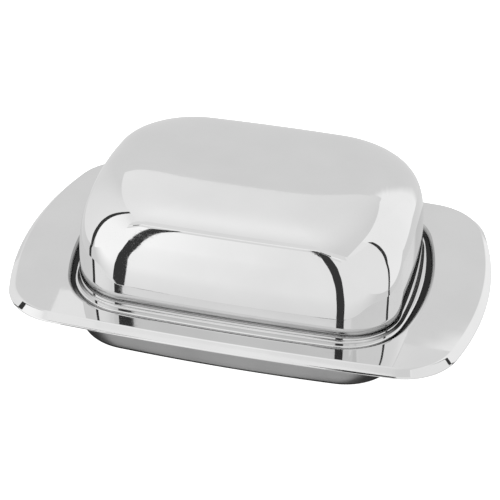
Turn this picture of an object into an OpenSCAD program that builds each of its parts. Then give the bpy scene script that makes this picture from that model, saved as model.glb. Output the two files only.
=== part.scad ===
// Covered butter dish: a drawn sheet-steel tray with a stepped well, and a
// domed cover whose hemmed flange rests loose on the ledge inside the well.
// Millimetres, +Z up. The origin is on the table, under the middle of the dish.

/* [Tray] */
// Overall length of the tray, wing tip to wing tip
tray_length = 190; // [184:1:210]
// Overall depth of the tray at its middle
tray_depth = 122; // [120:1:132]
// Height of the flat rim above the table
rim_height = 22.5; // [20:0.5:28]
// Plan radius of the bowed long sides
tray_side_bow = 1290; // [900:10:2000]
// Plan radius of the bowed ends
tray_end_bow = 139; // [130:1:160]
// Plan radius of the four corners
tray_corner = 24.2; // [20:0.2:30]
// Outside radius of the lip that is rolled down all round
lip_radius = 2.9; // [2:0.1:4]
// Thickness of the tray's sheet
tray_sheet = 0.7; // [0.5:0.1:0.9]

/* [Well] */
// Length of the well at its upper wall
well_length = 142.4; // [140:0.2:146]
// Depth of the well at its upper wall
well_depth = 102; // [100:0.2:104]
// Plan radius of the well's corners
well_corner = 27; // [26:0.5:29]
// Radius of the mouth, where the flat rim turns down into the well
mouth_radius = 1.9; // [1.5:0.1:2.2]
// Height of the straight upper wall, under the mouth's radius
upper_wall = 0.5; // [0.2:0.1:1]
// Radius where the upper wall meets the ledge
ledge_fillet = 0.4; // [0.3:0.1:0.6]
// Width of the ledge that carries the cover
ledge_width = 5; // [4.5:0.1:5.4]
// Radius of the ledge's inner edge
ledge_edge = 1; // [0.8:0.1:1.2]
// How far the lower wall leans in by the bottom
well_draft = 0.3; // [0:0.1:0.6]
// Inside radius round the bottom of the well
bottom_radius = 1; // [0.6:0.1:2]

/* [Cover] */
// Length over the cover's flange
flange_length = 138; // [137:0.2:138.6]
// Depth over the cover's flange
flange_depth = 97.6; // [97:0.2:98.2]
// Plan radius of the flange's corners
flange_corner = 25; // [24:0.5:26]
// Width of the hem folded under the flange
hem_width = 1.7; // [1.5:0.1:1.8]
// Length of the cover's body at its upright wall
body_length = 132.2; // [131:0.2:133]
// Depth of the cover's body at its upright wall
body_depth = 90.6; // [90:0.2:91.4]
// Plan radius of the body's corners
body_corner = 23; // [21:0.5:25]
// Radius of the fillet between the flange and the wall
body_fillet = 0.9; // [0.6:0.1:1]
// Height at which the upright wall starts to curve in
shoulder_height = 30.5; // [28:0.5:34]
// Height of the top of the cover above the table
overall_height = 64; // [58:0.5:72]
// Flatness of the top: a higher number is flatter, with a tighter shoulder
crown_flatness = 8.6; // [6:0.2:10]
// Fullness of the shoulder: 2 is round, a higher number is squarer
shoulder_fullness = 2.3; // [2:0.1:2.6]
// Thickness of the cover's sheet
cover_sheet = 0.6; // [0.5:0.1:0.7]

/* [Hidden] */

// An outline is [half length, half depth, side bow, end bow, corner radius].
tray_outline = [tray_length / 2, tray_depth / 2, tray_side_bow, tray_end_bow, tray_corner];
well_outline = [well_length / 2, well_depth / 2, 900, 105, well_corner];
ledge_inner = [well_length / 2 - ledge_width, well_depth / 2 - ledge_width, 800, 140, well_corner - ledge_width];
flange_outline = [flange_length / 2, flange_depth / 2, 1000, 121, flange_corner];
body_outline = [body_length / 2, body_depth / 2, 1000, 165, body_corner];
// The crown's contours are rounder than the body, and meet it at the wall.
crown_outline = [body_length / 2 + 2.9, body_depth / 2 + 2.1, 1000, 156, 42];
// How fast the crown's contours take the body's shape towards the wall
crown_blend = 4;

ledge_height = rim_height - mouth_radius - upper_wall - ledge_fillet;
hem_thickness = 2 * cover_sheet + 0.05;
hem_round = hem_thickness / 2;
flange_top = ledge_height + hem_thickness;
floor_inset = well_draft + bottom_radius;

// Segments in half an end, a corner and half a long side of an outline
end_steps = 4;
corner_steps = 9;
side_steps = 5;

// --- Outlines: long sides and ends are shallow arcs, joined by tangent corner arcs ---

// Centre of the corner arc in the quadrant where x and y are positive
function corner_centre(o) =
    let (
        side = [0, o[1] - o[2]],
        end = [o[0] - o[3], 0],
        from_side = o[2] - o[4],
        from_end = o[3] - o[4],
        gap = norm(end - side),
        along = (from_side ^ 2 - from_end ^ 2 + gap ^ 2) / (2 * gap),
        across = sqrt(from_side ^ 2 - along ^ 2),
        unit = (end - side) / gap
    )
    side + along * unit + across * [unit[1], -unit[0]];

function arc(centre, radius, from, to, steps) =
    [for (i = [0:steps - 1])
        let (angle = from + (to - from) * i / steps)
        centre + radius * [cos(angle), sin(angle)]];

// One quadrant, from the +X axis to just short of the +Y axis
function quadrant(o, inset) =
    let (
        c = corner_centre(o),
        end_centre = [o[0] - o[3], 0],
        side_centre = [0, o[1] - o[2]],
        end_angle = atan2(c[1], c[0] - end_centre[0]),
        side_angle = atan2(c[1] - side_centre[1], c[0])
    )
    concat(
        arc(end_centre, o[3] - inset, 0, end_angle, end_steps),
        arc(c, o[4] - inset, end_angle, side_angle, corner_steps),
        arc(side_centre, o[2] - inset, side_angle, 90, side_steps)
    );

// The whole outline, moved in by inset, as points that run anticlockwise
function outline(o, inset = 0) =
    let (
        q = quadrant(o, inset),
        n = len(q),
        top = [0, o[1] - inset]
    )
    concat(
        q,
        [top],
        [for (i = [n - 1:-1:0]) [-q[i][0], q[i][1]]],
        [for (i = [1:n - 1]) [-q[i][0], -q[i][1]]],
        [-top],
        [for (i = [n - 1:-1:1]) [q[i][0], -q[i][1]]]
    );

function lift(points, z) = [for (p = points) [p[0], p[1], z]];

// A loop is an outline moved in by inset, at height z.
function loop(o, inset, z) = lift(outline(o, inset), z);

// Loops along a rounded edge: (inset, z) goes round a centre from one angle to
// another, with 0 degrees outwards and 90 degrees up.
function edge_loops(o, centre, radius, from, to, steps) =
    [for (i = [0:steps])
        let (angle = from + (to - from) * i / steps)
        loop(o, centre[0] - radius * cos(angle), centre[1] + radius * sin(angle))];

// --- Solids from loops ---

// Two triangles in each cell between one loop and the next
function strips(rows, count) =
    [for (j = [0:rows - 2], k = [0:count - 1])
        let (
            a = j * count,
            b = a + count,
            next = (k + 1) % count
        )
        each [
            [a + k, b + k, b + next],
            [a + k, b + next, a + next]
        ]];

// A sheet that starts at a pole in the middle of its underside, follows the loops
// out to its rim and back, and ends at a pole in the middle of its upper side
module shell(under_pole, loops, upper_pole) {
    count = len(loops[0]);
    rows = len(loops);
    under = rows * count;
    upper = under + 1;
    last = (rows - 1) * count;
    caps = [for (k = [0:count - 1])
        let (next = (k + 1) % count)
        each [
            [under, k, next],
            [upper, last + next, last + k]
        ]];
    polyhedron(
        concat([for (l = loops) each l], [under_pole, upper_pole]),
        concat(strips(rows, count), caps),
        convexity = 8
    );
}

// --- Tray ---

lip_centre = [lip_radius, rim_height - lip_radius];
mouth_centre = [-mouth_radius, rim_height - mouth_radius];
fillet_centre = [ledge_fillet, ledge_height + ledge_fillet];
edge_centre = [-ledge_edge, ledge_height - ledge_edge];
floor_centre = [floor_inset, tray_sheet + bottom_radius];

function tray_upper() = concat(
    edge_loops(tray_outline, lip_centre, lip_radius, 0, 90, 5),
    edge_loops(well_outline, mouth_centre, mouth_radius, 90, 180, 4),
    edge_loops(well_outline, fillet_centre, ledge_fillet, -30, -90, 2),
    edge_loops(ledge_inner, edge_centre, ledge_edge, 90, 180, 3),
    edge_loops(ledge_inner, floor_centre, bottom_radius, 0, -90, 3)
);

function tray_under() = concat(
    edge_loops(ledge_inner, floor_centre, bottom_radius + tray_sheet, -90, 0, 3),
    edge_loops(ledge_inner, edge_centre, ledge_edge - tray_sheet, 180, 90, 2),
    edge_loops(well_outline, fillet_centre, ledge_fillet + tray_sheet, -90, -30, 2),
    edge_loops(well_outline, mouth_centre, mouth_radius - tray_sheet, 180, 90, 3),
    edge_loops(tray_outline, lip_centre, lip_radius - tray_sheet, 90, 0, 4)
);

module tray() {
    color("silver")
    shell([0, 0, 0], concat(tray_under(), tray_upper()), [0, 0, tray_sheet]);
}

// --- Cover ---

hem_centre = [hem_round, ledge_height + hem_round];
foot_centre = [-body_fillet, flange_top + body_fillet];
hem_ledge = flange_top - cover_sheet;

// Stations up the dome, as angles: 0 is the wall and 90 the middle of the top
dome_angles = [0, 2, 5, 9, 14, 20, 27, 34, 41, 48, 55, 62, 68, 74, 79, 83, 86, 88, 89.4];

// One contour of the dome, whose surface lies sheet inside the outer one
function dome_loop(angle, sheet) =
    let (
        reach = cos(angle) ^ (2 / crown_flatness),
        share = reach ^ crown_blend,
        rise = sin(angle) ^ (2 / shoulder_fullness),
        z = shoulder_height + (overall_height - sheet - shoulder_height) * rise
    )
    lift(reach * (share * outline(body_outline, sheet) + (1 - share) * outline(crown_outline, sheet)), z);

function reversed(list) = [for (i = [len(list) - 1:-1:0]) list[i]];

function cover_loops() = concat(
    [for (angle = reversed(dome_angles)) dome_loop(angle, cover_sheet)],
    edge_loops(body_outline, foot_centre, body_fillet + cover_sheet, 180, 270, 3),
    [loop(flange_outline, hem_width, hem_ledge)],
    [loop(flange_outline, hem_width, ledge_height)],
    edge_loops(flange_outline, hem_centre, hem_round, -90, 90, 6),
    edge_loops(body_outline, foot_centre, body_fillet, 270, 180, 3),
    [for (angle = dome_angles) dome_loop(angle, 0)]
);

module cover() {
    color("gainsboro")
    shell([0, 0, overall_height - cover_sheet], cover_loops(), [0, 0, overall_height]);
}

tray();
cover();
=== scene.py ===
"""Covered steel dish: a winged tray with a stepped well, and a loose domed cover."""
import math

import bpy
import numpy as np
from mathutils import Matrix, Vector


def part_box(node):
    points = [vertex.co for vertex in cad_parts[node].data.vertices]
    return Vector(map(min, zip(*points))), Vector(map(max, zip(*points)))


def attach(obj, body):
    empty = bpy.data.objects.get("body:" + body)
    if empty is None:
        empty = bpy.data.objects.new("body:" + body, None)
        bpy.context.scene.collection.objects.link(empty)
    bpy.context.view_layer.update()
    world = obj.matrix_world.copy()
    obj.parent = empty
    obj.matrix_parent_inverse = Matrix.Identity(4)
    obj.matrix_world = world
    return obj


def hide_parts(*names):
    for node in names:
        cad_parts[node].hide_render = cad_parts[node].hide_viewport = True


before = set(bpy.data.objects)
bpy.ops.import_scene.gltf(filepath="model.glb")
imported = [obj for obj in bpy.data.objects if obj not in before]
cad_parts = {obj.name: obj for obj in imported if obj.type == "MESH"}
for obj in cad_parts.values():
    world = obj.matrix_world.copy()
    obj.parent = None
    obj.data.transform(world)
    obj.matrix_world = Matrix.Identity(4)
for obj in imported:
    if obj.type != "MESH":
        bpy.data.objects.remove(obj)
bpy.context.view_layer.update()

MM = 0.001
_, tray_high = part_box("tray")
cover_low, cover_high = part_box("cover")

# --- Measures, in millimetres ---

# The tray, and the two bends and the bevel of its rolled lip
RIM_HEIGHT = tray_high.z / MM
TRAY_SHEET = 0.7
LIP_RADIUS = 2.9
LIP_TOP_BEND = 1.2
LIP_EDGE_BEND = 0.9
CUT_ROUND = 0.22
CUT_DEPTH = 0.3

# The well
LEDGE_HEIGHT = cover_low.z / MM
MOUTH_RADIUS = 1.9
LEDGE_FILLET = 0.4
LEDGE_EDGE = 1.0
FLOOR_INSET = 1.3
BOTTOM_RADIUS = 1.0

# The cover's flange, and its dome as in the CAD
OVERALL_HEIGHT = cover_high.z / MM
COVER_SHEET = 0.6
HEM_WIDTH = 1.7
HEM_THICKNESS = 1.25
FLANGE_TOP = LEDGE_HEIGHT + HEM_THICKNESS
BODY_FILLET = 0.9
SHOULDER_HEIGHT = 30.5
CROWN_FLATNESS = 8.6
SHOULDER_FULLNESS = 2.3
CROWN_BLEND = 4

# The cover's wall leans out by WALL_SLOPE, and turns upright between SLOPE_TOP and FLARE_TOP.
WALL_FOOT = FLANGE_TOP + BODY_FILLET + 0.1
WALL_SLOPE = 0.036
SLOPE_TOP = 31.0
FLARE_TOP = 37.0

# --- Outlines ---

END_STEPS = 12
CORNER_STEPS = 30
SIDE_STEPS = 18


class Outline:
    """A rounded rectangle of tangent arcs: bowed long sides, bowed ends and round corners."""

    def __init__(self, half_length, half_depth, side_bow, end_bow, corner):
        side = np.array([0.0, half_depth - side_bow])
        end = np.array([half_length - end_bow, 0.0])
        from_side = side_bow - corner
        from_end = end_bow - corner
        gap = np.linalg.norm(end - side)
        along = (from_side**2 - from_end**2 + gap**2) / (2 * gap)
        across = math.sqrt(from_side**2 - along**2)
        unit = (end - side) / gap
        middle = side + along * unit + across * np.array([unit[1], -unit[0]])
        end_angle = math.atan2(middle[1], middle[0] - end[0])
        side_angle = math.atan2(middle[1] - side[1], middle[0])
        arcs = (
            (end, end_bow, 0.0, end_angle, END_STEPS),
            (middle, corner, end_angle, side_angle, CORNER_STEPS),
            (side, side_bow, side_angle, math.pi / 2, SIDE_STEPS),
        )
        centres = []
        radii = []
        angles = []
        for centre, radius, start, stop, steps in arcs:
            for i in range(steps):
                centres.append(centre)
                radii.append(radius)
                angles.append(start + (stop - start) * i / steps)
        centres.append(side)
        radii.append(side_bow)
        angles.append(math.pi / 2)
        centres = np.array(centres)
        radii = np.array(radii)
        directions = np.stack([np.cos(angles), np.sin(angles)], 1)
        last = len(radii) - 1
        quadrants = (
            (range(0, last), 1, 1),
            (range(last, 0, -1), -1, 1),
            (range(0, last), -1, -1),
            (range(last, 0, -1), 1, -1),
        )
        order = np.array([i for picks, _, _ in quadrants for i in picks])
        flips = np.array([(sx, sy) for picks, sx, sy in quadrants for _ in picks], float)
        self.centres = centres[order] * flips
        self.directions = directions[order] * flips
        self.radii = radii[order]
        points = self.at(0)
        steps = np.linalg.norm(np.roll(points, -1, 0) - points, axis=1)
        self.speeds = (steps + np.roll(steps, 1)) / 2

    def at(self, inset):
        return self.centres + (self.radii - inset)[:, None] * self.directions

    def tangents(self, inset):
        along = np.stack([-self.directions[:, 1], self.directions[:, 0]], 1)
        return along * (self.speeds * (1 - inset / self.radii))[:, None]


tray_outline = Outline(tray_high.x / MM, tray_high.y / MM, 1290, 139, 24.2)
well_outline = Outline(71.2, 51, 900, 105, 27)
ledge_outline = Outline(66.2, 46, 800, 140, 22)
flange_outline = Outline(cover_high.x / MM, cover_high.y / MM, 1000, 121, 25)
body_outline = Outline(66.1, 45.3, 1000, 165, 23)
crown_outline = Outline(69, 47.4, 1000, 156, 42)

# --- Loops: (points, normals), each an outline at one height ---


def at_height(flat, height):
    """Points in the plan, as points in space at one height."""
    return np.column_stack([flat, np.full(len(flat), height)])


def edge(outline, centre, radius, start, stop, steps, hollow=False):
    """Loops round a bend, with angle 0 outwards and 90 up. A hollow bend's steel is outside it."""
    loops = []
    for angle in np.radians(np.linspace(start, stop, steps + 1)):
        out = math.cos(angle)
        up = math.sin(angle)
        points = at_height(outline.at(centre[0] - radius * out), centre[1] + radius * up)
        normals = at_height(outline.directions * out, up)
        loops.append((points, -normals if hollow else normals))
    return loops


def level(outline, inset, height, up):
    """One loop on a flat face that looks up (1) or down (-1)."""
    points = at_height(outline.at(inset), height)
    return points, np.tile([0.0, 0.0, float(up)], (len(points), 1))


def flare(height):
    """How far the cover's wall stands outside its outline at a height."""
    turned = min(FLARE_TOP - SLOPE_TOP, max(0.0, FLARE_TOP - height))
    straight = max(0.0, SLOPE_TOP - height)
    return WALL_SLOPE * (turned**2 / (2 * (FLARE_TOP - SLOPE_TOP)) + straight)


def flare_slope(height):
    """How much the flare grows for each millimetre up; it is never above 0."""
    step = 0.01
    return (flare(height + step) - flare(height - step)) / (2 * step)


def wall_loops(sheet, steps):
    """The cover's wall from its foot up to the dome: outside if sheet is 0, inside if not."""
    loops = []
    for height in np.linspace(WALL_FOOT, SHOULDER_HEIGHT, steps, endpoint=False):
        tilt = math.atan(-flare_slope(height))
        points = at_height(body_outline.at(sheet - flare(height)), height)
        normals = at_height(body_outline.directions * math.cos(tilt), math.sin(tilt))
        loops.append((points, -normals if sheet else normals))
    return loops


def dome_points(angle, sheet):
    """One contour of the dome and its tangents. Angle 0 is the wall and a quarter turn the top."""
    reach = math.cos(angle) ** (2 / CROWN_FLATNESS)
    share = reach**CROWN_BLEND
    rise = math.sin(angle) ** (2 / SHOULDER_FULLNESS)
    height = SHOULDER_HEIGHT + (OVERALL_HEIGHT - sheet - SHOULDER_HEIGHT) * rise
    inset = sheet - flare(height)
    flat = reach * (share * body_outline.at(inset) + (1 - share) * crown_outline.at(inset))
    body_part = share * body_outline.tangents(inset)
    crown_part = (1 - share) * crown_outline.tangents(inset)
    return at_height(flat, height), at_height(reach * (body_part + crown_part), 0)


def dome_loop(angle, sheet):
    """One loop of the dome, with normals from its tangents along and up the surface."""
    points, along = dome_points(angle, sheet)
    if angle > 0:
        step = min(1e-4, angle / 2, (math.pi / 2 - angle) / 2)
        climb = dome_points(angle + step, sheet)[0] - dome_points(angle - step, sheet)[0]
        climb /= np.linalg.norm(climb, axis=1)[:, None]
    else:
        climb = at_height(body_outline.directions * flare_slope(SHOULDER_HEIGHT), 1)
    normals = np.cross(along, climb)
    normals /= np.linalg.norm(normals, axis=1)[:, None]
    return points, -normals if sheet else normals


def dome_angles(shoulder_step, crown_rings):
    """Stations up the dome: by angle round the shoulder, then by reach over the nearly flat crown."""
    crown_start = 84
    last_reach = 0.05
    angles = list(np.radians(np.arange(0, crown_start, shoulder_step)))
    reach = math.cos(math.radians(crown_start)) ** (2 / CROWN_FLATNESS)
    for share in np.linspace(1, last_reach, crown_rings):
        angles.append(math.acos((share * reach) ** (CROWN_FLATNESS / 2)))
    return angles


# --- Meshes ---

POLISHED = 0
# The second finish is satin steel whose tone is darkened as painted shade.
SATIN_SHADED = 1
# The third finish is unbuffed steel whose tone is darkened as painted shade in the groove and the
# crease.
UNBUFFED_AND_SHADED = 2

# How worn a face and a sharp edge are, and the poles under and on top of a piece: 0 to 1
FACE_WEAR = 0.2
EDGE_WEAR = 1.0
POLE_WEAR = (0.0, 0.3)

# Painted shade darkens the unbuffed steel towards the dish's ends, as its outline turns to face along
# X: it starts where the X part of the outward direction is the first of these, and is darkest from the
# second.
GROOVE_SHADE_FACING = (0.5, 0.92)
FULL_GROOVE_SHADE = 1.0
LIGHT_GROOVE_SHADE = 0.3


def write_values(mesh, name, values):
    attribute = mesh.attributes.new(name, "FLOAT", "POINT")
    attribute.data.foreach_set("value", values)


def shell(name, under_pole, loops, upper_pole, finish_of, wear_of, groove_shade_of):
    """A closed sheet from the pole under it, by the loops out to its edge and back, to the pole on top.

    The last three arguments give a row's finish, its wear and how dark the painted shade on unbuffed
    steel is there.
    """
    count = len(loops[0][0])
    rows = len(loops)
    points = np.vstack([p for p, _ in loops] + [[under_pole], [upper_pole]]) * MM
    normals = np.vstack([n for _, n in loops] + [[(0, 0, -1)], [(0, 0, 1)]])
    under = rows * count
    faces = [(under, (k + 1) % count, k) for k in range(count)]
    finish = [finish_of(0)] * count
    for row in range(rows - 1):
        a = row * count
        b = a + count
        for k in range(count):
            after = (k + 1) % count
            faces.append((a + k, a + after, b + after, b + k))
        finish += [finish_of(row)] * count
    last = (rows - 1) * count
    faces += [(under + 1, last + k, last + (k + 1) % count) for k in range(count)]
    finish += [finish_of(rows)] * count
    mesh = bpy.data.meshes.new(name)
    mesh.from_pydata(points.tolist(), [], faces)
    mesh.polygons.foreach_set("use_smooth", [True] * len(faces))
    mesh.polygons.foreach_set("material_index", finish)
    # Painted shade on the unbuffed steel, strongest at the dish's ends, where the outline faces along
    # X.
    ends = np.interp(np.abs(body_outline.directions[:, 0]), GROOVE_SHADE_FACING, [0, 1])
    wear = [wear_of(row) for row in range(rows)]
    groove_shade = [groove_shade_of(row) * ends for row in range(rows)]
    write_values(mesh, "wear", np.append(np.repeat(wear, count), POLE_WEAR))
    write_values(mesh, "groove_shade", np.append(groove_shade, [0, 0]))
    mesh.normals_split_custom_set_from_vertices(normals.tolist())
    mesh.validate()
    piece = bpy.data.objects.new(name, mesh)
    bpy.context.scene.collection.objects.link(piece)
    return piece


# How far a bend of radius 1 stands off the corner of its two faces, at 45 degrees
bevel = 1 - math.sqrt(2) / 2
lip_flat = LIP_RADIUS + (1 - 2 * bevel) * (LIP_TOP_BEND - LIP_EDGE_BEND)
lip_top = (lip_flat, RIM_HEIGHT - LIP_TOP_BEND)
lip_edge = (LIP_EDGE_BEND, RIM_HEIGHT - LIP_RADIUS)
cut_height = RIM_HEIGHT - LIP_RADIUS + CUT_ROUND - CUT_DEPTH
mouth_centre = (-MOUTH_RADIUS, RIM_HEIGHT - MOUTH_RADIUS)
fillet_centre = (LEDGE_FILLET, LEDGE_HEIGHT + LEDGE_FILLET)
edge_centre = (-LEDGE_EDGE, LEDGE_HEIGHT - LEDGE_EDGE)
floor_centre = (FLOOR_INSET, TRAY_SHEET + BOTTOM_RADIUS)

# The tray's loops, from the middle of its underside to the middle of the well's floor
underside = [
    *edge(ledge_outline, floor_centre, BOTTOM_RADIUS + TRAY_SHEET, -90, 0, 8),
    *edge(ledge_outline, edge_centre, LEDGE_EDGE - TRAY_SHEET, 180, 90, 4, hollow=True),
    *edge(well_outline, fillet_centre, LEDGE_FILLET + TRAY_SHEET, -90, 0, 6),
    *edge(well_outline, mouth_centre, MOUTH_RADIUS - TRAY_SHEET, 180, 90, 8, hollow=True),
    *edge(tray_outline, lip_top, LIP_TOP_BEND - TRAY_SHEET, 90, 45, 5, hollow=True),
    *edge(tray_outline, lip_edge, LIP_EDGE_BEND - TRAY_SHEET, 45, 0, 5, hollow=True),
]
cut_edge = [
    *edge(tray_outline, (TRAY_SHEET - CUT_ROUND, cut_height), CUT_ROUND, 180, 270, 4),
    *edge(tray_outline, (CUT_ROUND, cut_height), CUT_ROUND, -90, 0, 4),
]
lip = [
    *edge(tray_outline, lip_edge, LIP_EDGE_BEND, 0, 45, 7),
    *edge(tray_outline, lip_top, LIP_TOP_BEND, 45, 90, 7),
]
mouth = edge(well_outline, mouth_centre, MOUTH_RADIUS, 90, 180, 12)
ledge = [
    *edge(well_outline, fillet_centre, LEDGE_FILLET, 0, -90, 6, hollow=True),
    *edge(ledge_outline, edge_centre, LEDGE_EDGE, 90, 180, 6),
]
well_floor = edge(ledge_outline, floor_centre, BOTTOM_RADIUS, 0, -90, 6, hollow=True)

cut_row = len(underside)
lip_row = cut_row + len(cut_edge)
mouth_row = lip_row + len(lip)
ledge_row = mouth_row + len(mouth)
floor_row = ledge_row + len(ledge)
# Rows of the lip that are worn, of the mouth that stay polished without painted shade, and of the
# ledge's fillet that get light painted shade
WORN_LIP = 7
UNSHADED_MOUTH = 3
LIGHTLY_SHADED_LEDGE = 3


def tray_finish(row):
    """Satin steel with painted shade in its tone under the tray, unbuffed steel with painted shade from
    the mouth down to the ledge's edge, polished elsewhere.
    """
    if row < cut_row:
        return SATIN_SHADED
    if mouth_row + UNSHADED_MOUTH <= row < floor_row:
        return UNBUFFED_AND_SHADED
    return POLISHED


def tray_wear(row):
    return EDGE_WEAR if cut_row <= row < lip_row + WORN_LIP else FACE_WEAR


def tray_groove_shade(row):
    return FULL_GROOVE_SHADE if row >= ledge_row + LIGHTLY_SHADED_LEDGE else LIGHT_GROOVE_SHADE


tray = shell(
    "dish_tray",
    (0, 0, 0),
    underside + cut_edge + lip + mouth + ledge + well_floor,
    (0, 0, TRAY_SHEET),
    tray_finish,
    tray_wear,
    tray_groove_shade,
)

# The cover's loops, from the middle of its inside to the middle of its top
hem_centre = (HEM_THICKNESS / 2, LEDGE_HEIGHT + HEM_THICKNESS / 2)
foot_centre = (-BODY_FILLET - flare(WALL_FOOT), FLANGE_TOP + BODY_FILLET)
inside = [
    *(dome_loop(angle, COVER_SHEET) for angle in reversed(dome_angles(3.0, 10))),
    *reversed(wall_loops(COVER_SHEET, 4)),
    *edge(body_outline, foot_centre, BODY_FILLET + COVER_SHEET, 183, 270, 6),
    level(flange_outline, HEM_WIDTH, FLANGE_TOP - COVER_SHEET, -1),
    level(flange_outline, HEM_WIDTH, LEDGE_HEIGHT, -1),
]
hem = edge(flange_outline, hem_centre, HEM_THICKNESS / 2, -90, 90, 14)
crease = edge(body_outline, foot_centre, BODY_FILLET, 270, 183, 10, hollow=True)
outside = wall_loops(0, 10) + [dome_loop(angle, 0) for angle in dome_angles(1.5, 18)]

hem_row = len(inside)
crease_row = hem_row + len(hem)
wall_row = crease_row + len(crease)


def cover_finish(row):
    """Satin steel with painted shade in its tone inside, unbuffed steel with painted shade in the
    crease at the foot, polished elsewhere.
    """
    if row < hem_row:
        return SATIN_SHADED
    if crease_row <= row < wall_row:
        return UNBUFFED_AND_SHADED
    return POLISHED


def cover_wear(row):
    return EDGE_WEAR if hem_row <= row < crease_row else FACE_WEAR


def cover_groove_shade(row):
    return FULL_GROOVE_SHADE


cover = shell(
    "dish_cover",
    (0, 0, OVERALL_HEIGHT - COVER_SHEET),
    inside + hem + crease + outside,
    (0, 0, OVERALL_HEIGHT),
    cover_finish,
    cover_wear,
    cover_groove_shade,
)

# --- Steel ---

# Each noise is its scale, its stretch along the three axes and its detail.
CLOUDS = (45, (1, 1, 1), 4)
RIPPLE = (60, (1, 1, 1), 1)
RUBBING = (700, (1, 1, 1), 3)
WIPING = (260, (1, 9, 9), 6)
BRUSHING = (900, (0.06, 0.06, 1.6), 5)
DRAWING = (1200, (0.2, 0.2, 1), 4)

# Added roughness of a fully worn edge, and the ripple's height in metres
WORN_ROUGHNESS = 0.12
RIPPLE_HEIGHT = 0.000004


def steel(name, tones, roughnesses, grain, grain_height, shaded_share=1.0):
    """Steel with clouded polish, scratches, a slight ripple and rubbed edges.

    The last argument is the share of its tone that the metal keeps where its painted shade is darkest.
    """
    material = bpy.data.materials.new(name)
    material.use_nodes = True
    nodes = material.node_tree.nodes
    link = material.node_tree.links.new
    shader = nodes["Principled BSDF"]
    shader.inputs["Metallic"].default_value = 1.0
    place = nodes.new("ShaderNodeTexCoord")

    def noise(scale, stretch, detail):
        stretched = nodes.new("ShaderNodeMapping")
        stretched.inputs["Scale"].default_value = stretch
        link(place.outputs["Object"], stretched.inputs["Vector"])
        pattern = nodes.new("ShaderNodeTexNoise")
        pattern.inputs["Scale"].default_value = scale
        pattern.inputs["Detail"].default_value = detail
        link(stretched.outputs["Vector"], pattern.inputs["Vector"])
        return pattern.outputs["Fac"]

    def ramp(value, low, high, first, last):
        spread = nodes.new("ShaderNodeMapRange")
        spread.inputs["From Min"].default_value = low
        spread.inputs["From Max"].default_value = high
        spread.inputs["To Min"].default_value = first
        spread.inputs["To Max"].default_value = last
        link(value, spread.inputs["Value"])
        return spread.outputs["Result"]

    def bump(height, depth, below=None):
        raised = nodes.new("ShaderNodeBump")
        raised.inputs["Strength"].default_value = 1.0
        raised.inputs["Distance"].default_value = depth
        link(height, raised.inputs["Height"])
        if below:
            link(below, raised.inputs["Normal"])
        return raised.outputs["Normal"]

    def stored(attribute_name):
        attribute = nodes.new("ShaderNodeAttribute")
        attribute.attribute_name = attribute_name
        return attribute.outputs["Fac"]

    def combined(operation, first, second):
        maths = nodes.new("ShaderNodeMath")
        maths.operation = operation
        link(first, maths.inputs[0])
        link(second, maths.inputs[1])
        return maths.outputs["Value"]

    clouded = ramp(noise(*CLOUDS), 0.3, 0.7, *tones)
    # Painted shade: the tone falls with the mesh's shade attribute, down to the last argument's share
    # at its darkest.
    kept = ramp(stored("groove_shade"), 0, 1, 1.0, shaded_share)
    tone = combined("MULTIPLY", clouded, kept)
    tint = nodes.new("ShaderNodeCombineColor")
    for channel in ("Red", "Green", "Blue"):
        link(tone, tint.inputs[channel])
    link(tint.outputs["Color"], shader.inputs["Base Color"])

    scratches = noise(*grain)
    scratched = ramp(scratches, 0.35, 0.75, *roughnesses)
    rubbing = ramp(noise(*RUBBING), 0.45, 0.7, 0.0, WORN_ROUGHNESS)
    rubbed = combined("MULTIPLY", stored("wear"), rubbing)
    link(combined("ADD", scratched, rubbed), shader.inputs["Roughness"])
    rippled = bump(noise(*RIPPLE), RIPPLE_HEIGHT)
    link(bump(scratches, grain_height, rippled), shader.inputs["Normal"])
    return material


polished = steel("polished_steel", (0.755, 0.785), (0.015, 0.05), WIPING, 0.0000003)
# Painted shade: the satin steel's tone is darkened to stand in for the shade under the tray's wings.
satin_shaded = steel("satin_steel_painted_shade", (0.37, 0.43), (0.3, 0.4), BRUSHING, 0.000004)
# Painted shade: the unbuffed steel is darker than the polished steel, and near black at the dish's ends
# through the shade attribute.
unbuffed_and_shaded = steel("unbuffed_steel_with_painted_shade", (0.66, 0.72), (0.08, 0.16), DRAWING, 0.0000006, 0.03)

for piece, node in ((tray, "tray"), (cover, "cover")):
    for finish in (polished, satin_shaded, unbuffed_and_shaded):
        piece.data.materials.append(finish)
    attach(piece, node)
    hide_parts(node)

# --- Light box: cards that only the steel's reflections see, in millimetres ---

# CEILING_EDGE is the ceiling's front edge, and NEAR is where the side walls and the table end.
LEFT_WALL = -180
RIGHT_WALL = 155
BACK_WALL = 150
FRONT_WALL = -305
NEAR = -310
TABLE_LEFT = -240
TABLE_RIGHT = 160
TABLE_HEIGHT = -1
CEILING = 170
CEILING_EDGE = -180
FRONT_TOP = 300
SIDE_TOP = 320
BACK_TOP = 330
# The front wall is lit in bands above this height, and from side to side below it.
HEADER = 150
# The dark strips stand just in front of the walls, and just over the table.
STRIP_GAP = 1
RIGHT_STRIP_GAP = 5
STRIP_HEIGHT = -0.5
FOOT_HEIGHT = -0.6
# The cells along each side of a card, which carry its changes of glow
CARD_CELLS = 48

# The emission strength of a card whose glow is 1
GLOW_SCALE = 0.91
SEAM_GLOW = 0.05
BACK_GLOW = 0.87
TABLE_GLOW = 0.85


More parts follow.
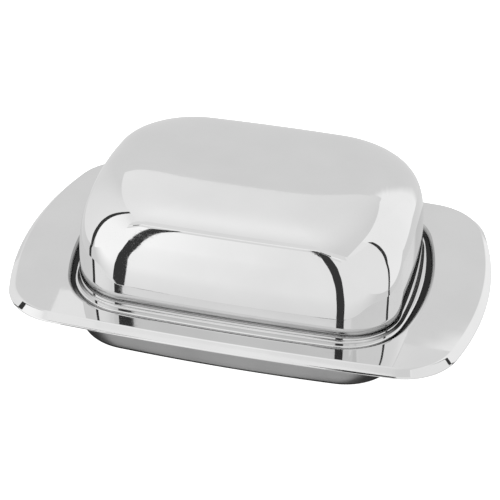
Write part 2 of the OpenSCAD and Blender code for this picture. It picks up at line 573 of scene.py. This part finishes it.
def glowing(name):
    """Light whose strength is the mesh's own glow attribute."""
    material = bpy.data.materials.new(name)
    material.use_nodes = True
    nodes = material.node_tree.nodes
    nodes.clear()
    glow = nodes.new("ShaderNodeAttribute")
    glow.attribute_name = "glow"
    light = nodes.new("ShaderNodeEmission")
    out = nodes.new("ShaderNodeOutputMaterial")
    material.node_tree.links.new(glow.outputs["Fac"], light.inputs["Strength"])
    material.node_tree.links.new(light.outputs["Emission"], out.inputs["Surface"])
    return material


card_light = glowing("card_light")


def even(glow):
    """The same glow all over a card."""
    return lambda x, y, z: glow


def card(name, points, faces, glow_at):
    mesh = bpy.data.meshes.new(name)
    mesh.from_pydata([tuple(c * MM for c in p) for p in points], [], faces)
    write_values(mesh, "glow", [GLOW_SCALE * float(glow_at(*p)) for p in points])
    mesh.materials.append(card_light)
    piece = bpy.data.objects.new(name, mesh)
    bpy.context.scene.collection.objects.link(piece)
    piece.visible_camera = False
    piece.visible_diffuse = False
    piece.visible_shadow = False


def panel(name, corners, glow_at):
    """A four-cornered card, in cells so that its glow can change across it."""
    a, b, c, d = (np.array(corner, float) for corner in corners)
    ticks = np.linspace(0, 1, CARD_CELLS + 1)
    points = [
        tuple((1 - v) * ((1 - u) * a + u * b) + v * ((1 - u) * d + u * c))
        for v in ticks
        for u in ticks
    ]
    row = CARD_CELLS + 1
    faces = [
        (j * row + i, j * row + i + 1, (j + 1) * row + i + 1, (j + 1) * row + i)
        for j in range(CARD_CELLS)
        for i in range(CARD_CELLS)
    ]
    card(name, points, faces, glow_at)


def wall(name, start, end, top, glow_at, bottom=TABLE_HEIGHT):
    """An upright card from one (x, y) to another."""
    panel(name, [(*start, bottom), (*end, bottom), (*end, top), (*start, top)], glow_at)


def level_card(name, corners, height, glow_at):
    """A level card with its four corners at (x, y)."""
    panel(name, [(*corner, height) for corner in corners], glow_at)


def rectangle(left, right, front, rear):
    return [(left, front), (right, front), (right, rear), (left, rear)]


def strip(name, left, right, place):
    """A dark strip between two edges, each a list of points that place puts on a wall or the table."""
    points = [place(*p) for p in left + right]
    rows = len(left)
    faces = [(i, i + 1, rows + i + 1, rows + i) for i in range(rows - 1)]
    card(name, points, faces, even(SEAM_GLOW))


def front_glow(x, y, z):
    if z > HEADER:
        return np.interp(z, [HEADER, 175, 185, 215, 234], [0.9, 1.0, 1.2, 1.2, 0.96])
    return np.interp(x, [-120, -41, -5, 50], [1.30, 1.15, 1.07, 1.06])


def left_front_glow(x, y, z):
    return np.interp(z, [110, 190, 240], [1.3, 1.2, 1.07])


def left_back_glow(x, y, z):
    return np.interp(y, [-60, 50, 150], [1.08, 1.0, BACK_GLOW])


def corner_glow(x, y, z):
    """The back wall is brighter next to the right wall, beyond a bowed border."""
    border = np.interp(z, [0, 60, 90, 115, 135, 150, 170], [124, 136, 134, 124, 112, 95, 60])
    return np.interp(x - border, [-7, 7], [BACK_GLOW, 1.14])


def ceiling_glow(x, y, z):
    """Brighter to the left and round a lamp, and dimmer at the front."""
    across = np.interp(x, [-118, -20, 40, 90], [1.06, 1.02, 0.97, 0.88])
    lamp = 0.15 * math.exp(-((x + 20) ** 2 + (y + 50) ** 2) / 90**2)
    return across + lamp - np.interp(y, [-300, -170], [0.12, 0])


def table_glow(x, y, z):
    """The table in front takes the front wall's glow."""
    behind = np.interp(y, [-115, -70], [0, 1])
    return (1 - behind) * front_glow(x, y, z) + behind * TABLE_GLOW


wall("back_card", (-230, BACK_WALL), (40, BACK_WALL), BACK_TOP, even(BACK_GLOW))
wall("back_corner_card", (40, BACK_WALL), (RIGHT_WALL, BACK_WALL), BACK_TOP, corner_glow)
wall("left_back_card", (LEFT_WALL, -60), (LEFT_WALL, BACK_WALL), SIDE_TOP, left_back_glow)
wall("left_front_card", (-235, NEAR), (LEFT_WALL, -70), SIDE_TOP, left_front_glow)
wall("right_back_card", (RIGHT_WALL, -22), (RIGHT_WALL, BACK_WALL), SIDE_TOP, even(1.15))
wall("right_front_card", (RIGHT_WALL, NEAR), (RIGHT_WALL, -22), CEILING, even(1.065))
wall("front_card", (TABLE_LEFT, FRONT_WALL), (TABLE_RIGHT, FRONT_WALL), FRONT_TOP, front_glow)
wall("valance_card", (-86, -100), (84, -100), 107, even(0.97), bottom=88)

level_card("table_card", rectangle(TABLE_LEFT, TABLE_RIGHT, NEAR, BACK_WALL), TABLE_HEIGHT, table_glow)
# The dish's own shade on the table, a little larger than its foot
level_card("foot_card", rectangle(-69, 69, -48.5, 48.5), FOOT_HEIGHT, even(SEAM_GLOW))

# The ceiling is two cards that share the edge from (28, CEILING_EDGE) to (78, 148).
level_card("ceiling_card",
           [(-113, CEILING_EDGE), (28, CEILING_EDGE), (78, 148), (-143, 148)],
           CEILING, ceiling_glow)
level_card("ceiling_side_card",
           [(28, CEILING_EDGE), (150, CEILING_EDGE), (112, 20), (78, 148)],
           CEILING, ceiling_glow)


def on_front(across, height):
    return across, FRONT_WALL + STRIP_GAP, height


def on_left(along, height):
    return LEFT_WALL + STRIP_GAP, along, height


def on_right(along, height):
    return RIGHT_WALL - RIGHT_STRIP_GAP, along, height


def on_table(across, along):
    return across, along, STRIP_HEIGHT


# The gaps between the light box's cloths, and the dark bands that run from them across the table
strip("right_seam",
      [(4, 178), (12, 117), (20, 69), (30, 34), (36, -2)],
      [(75, 175), (91, 118), (101, 73), (101, 31), (103, -2)], on_front)
strip("right_seam_top",
      [(20, 298), (25, 213), (25, 180)],
      [(100, 298), (94, 213), (92, 180)], on_front)
strip("right_seam_table",
      [(36, -307), (37, -209), (39, -164), (39, -137), (38, -118), (39, -90)],
      [(103, -307), (76, -192), (66, -150), (61, -125), (58, -109), (53, -90)], on_table)
strip("left_seam",
      [(-100, 175), (-121, 149), (-125, 71), (-129, 25), (-134, -2)],
      [(-98, 168), (-107, 128), (-111, 100), (-117, 42), (-123, -2)], on_front)
strip("left_seam_top",
      [(-172, 298), (-172, 262), (-200, 225), (-198, 180)],
      [(-152, 298), (-152, 262), (-151, 225), (-149, 180)], on_front)
strip("left_seam_table",
      [(-134, -307), (-103, -189), (-98, -152), (-90, -128), (-85, -112), (-75, -90)],
      [(-123, -307), (-92, -204), (-80, -159), (-73, -134), (-68, -119), (-59, -90)], on_table)
strip("thin_left_seam",
      [(-54, 240), (-59, 100), (-56, 55), (-49, 25), (-46, 0)],
      [(-76, 240), (-75, 100), (-72, 58), (-68, 30), (-60, 0)], on_left)
strip("thin_left_seam_table",
      [(-180, -46), (-153, -38), (-90, -39)],
      [(-180, -60), (-161, -51), (-90, -43)], on_table)
strip("thin_right_seam",
      [(-12, 160), (-18, 95), (-19, 67), (-22, 50), (-20, 33), (-21, 0)],
      [(-19, 182), (-27, 108), (-28, 75), (-29, 55), (-27, 37), (-27, 0)], on_right)
strip("thin_right_seam_table",
      [(150, -21), (110, -21)],
      [(150, -27), (110, -27)], on_table)

# --- Floor and background ---

# Half the floor's side, in metres
FLOOR_REACH = 3.0
corners = [(x * FLOOR_REACH, y * FLOOR_REACH, 0) for x, y in rectangle(-1, 1, -1, 1)]
floor_mesh = bpy.data.meshes.new("floor")
floor_mesh.from_pydata(corners, [], [(0, 1, 2, 3)])
floor_paper = bpy.data.materials.new("white_floor")
floor_paper.use_nodes = True
paper = floor_paper.node_tree.nodes["Principled BSDF"]
paper.inputs["Base Color"].default_value = (0.8, 0.8, 0.8, 1)
paper.inputs["Roughness"].default_value = 0.9
paper.inputs["Emission Color"].default_value = (1, 1, 1, 1)
paper.inputs["Emission Strength"].default_value = 1.0
floor_mesh.materials.append(floor_paper)
floor = bpy.data.objects.new("floor", floor_mesh)
bpy.context.scene.collection.objects.link(floor)
floor.visible_glossy = False

world = bpy.data.worlds.new("studio")
bpy.context.scene.world = world
world.use_nodes = True
background = world.node_tree.nodes["Background"]
background.inputs["Color"].default_value = (1, 1, 1, 1)
background.inputs["Strength"].default_value = 1.0

# --- Camera ---

# Azimuth is from straight in front, towards +X. Distance and aim are in metres.
AZIMUTH = math.radians(13.415)
ELEVATION = math.radians(34.641)
ROLL = math.radians(0.899)
DISTANCE = 0.638888
AIM = Vector((-0.001497, 0, 0.02483))
SENSOR_WIDTH = 36
FOCAL_LENGTH = 114.6046

back = Vector((
    math.sin(AZIMUTH) * math.cos(ELEVATION),
    -math.cos(AZIMUTH) * math.cos(ELEVATION),
    math.sin(ELEVATION),
))
right = Vector((math.cos(AZIMUTH), math.sin(AZIMUTH), 0))
up = back.cross(right)
tilted_right = math.cos(ROLL) * right + math.sin(ROLL) * up
tilted_up = back.cross(tilted_right)
camera_data = bpy.data.cameras.new("camera")
camera_data.lens = FOCAL_LENGTH
camera_data.sensor_width = SENSOR_WIDTH
camera = bpy.data.objects.new("camera", camera_data)
bpy.context.scene.collection.objects.link(camera)
axes = Matrix((tilted_right, tilted_up, back)).transposed().to_4x4()
camera.matrix_world = Matrix.Translation(AIM + DISTANCE * back) @ axes
bpy.context.scene.camera = camera
bpy.context.scene.view_settings.view_transform = "Standard"
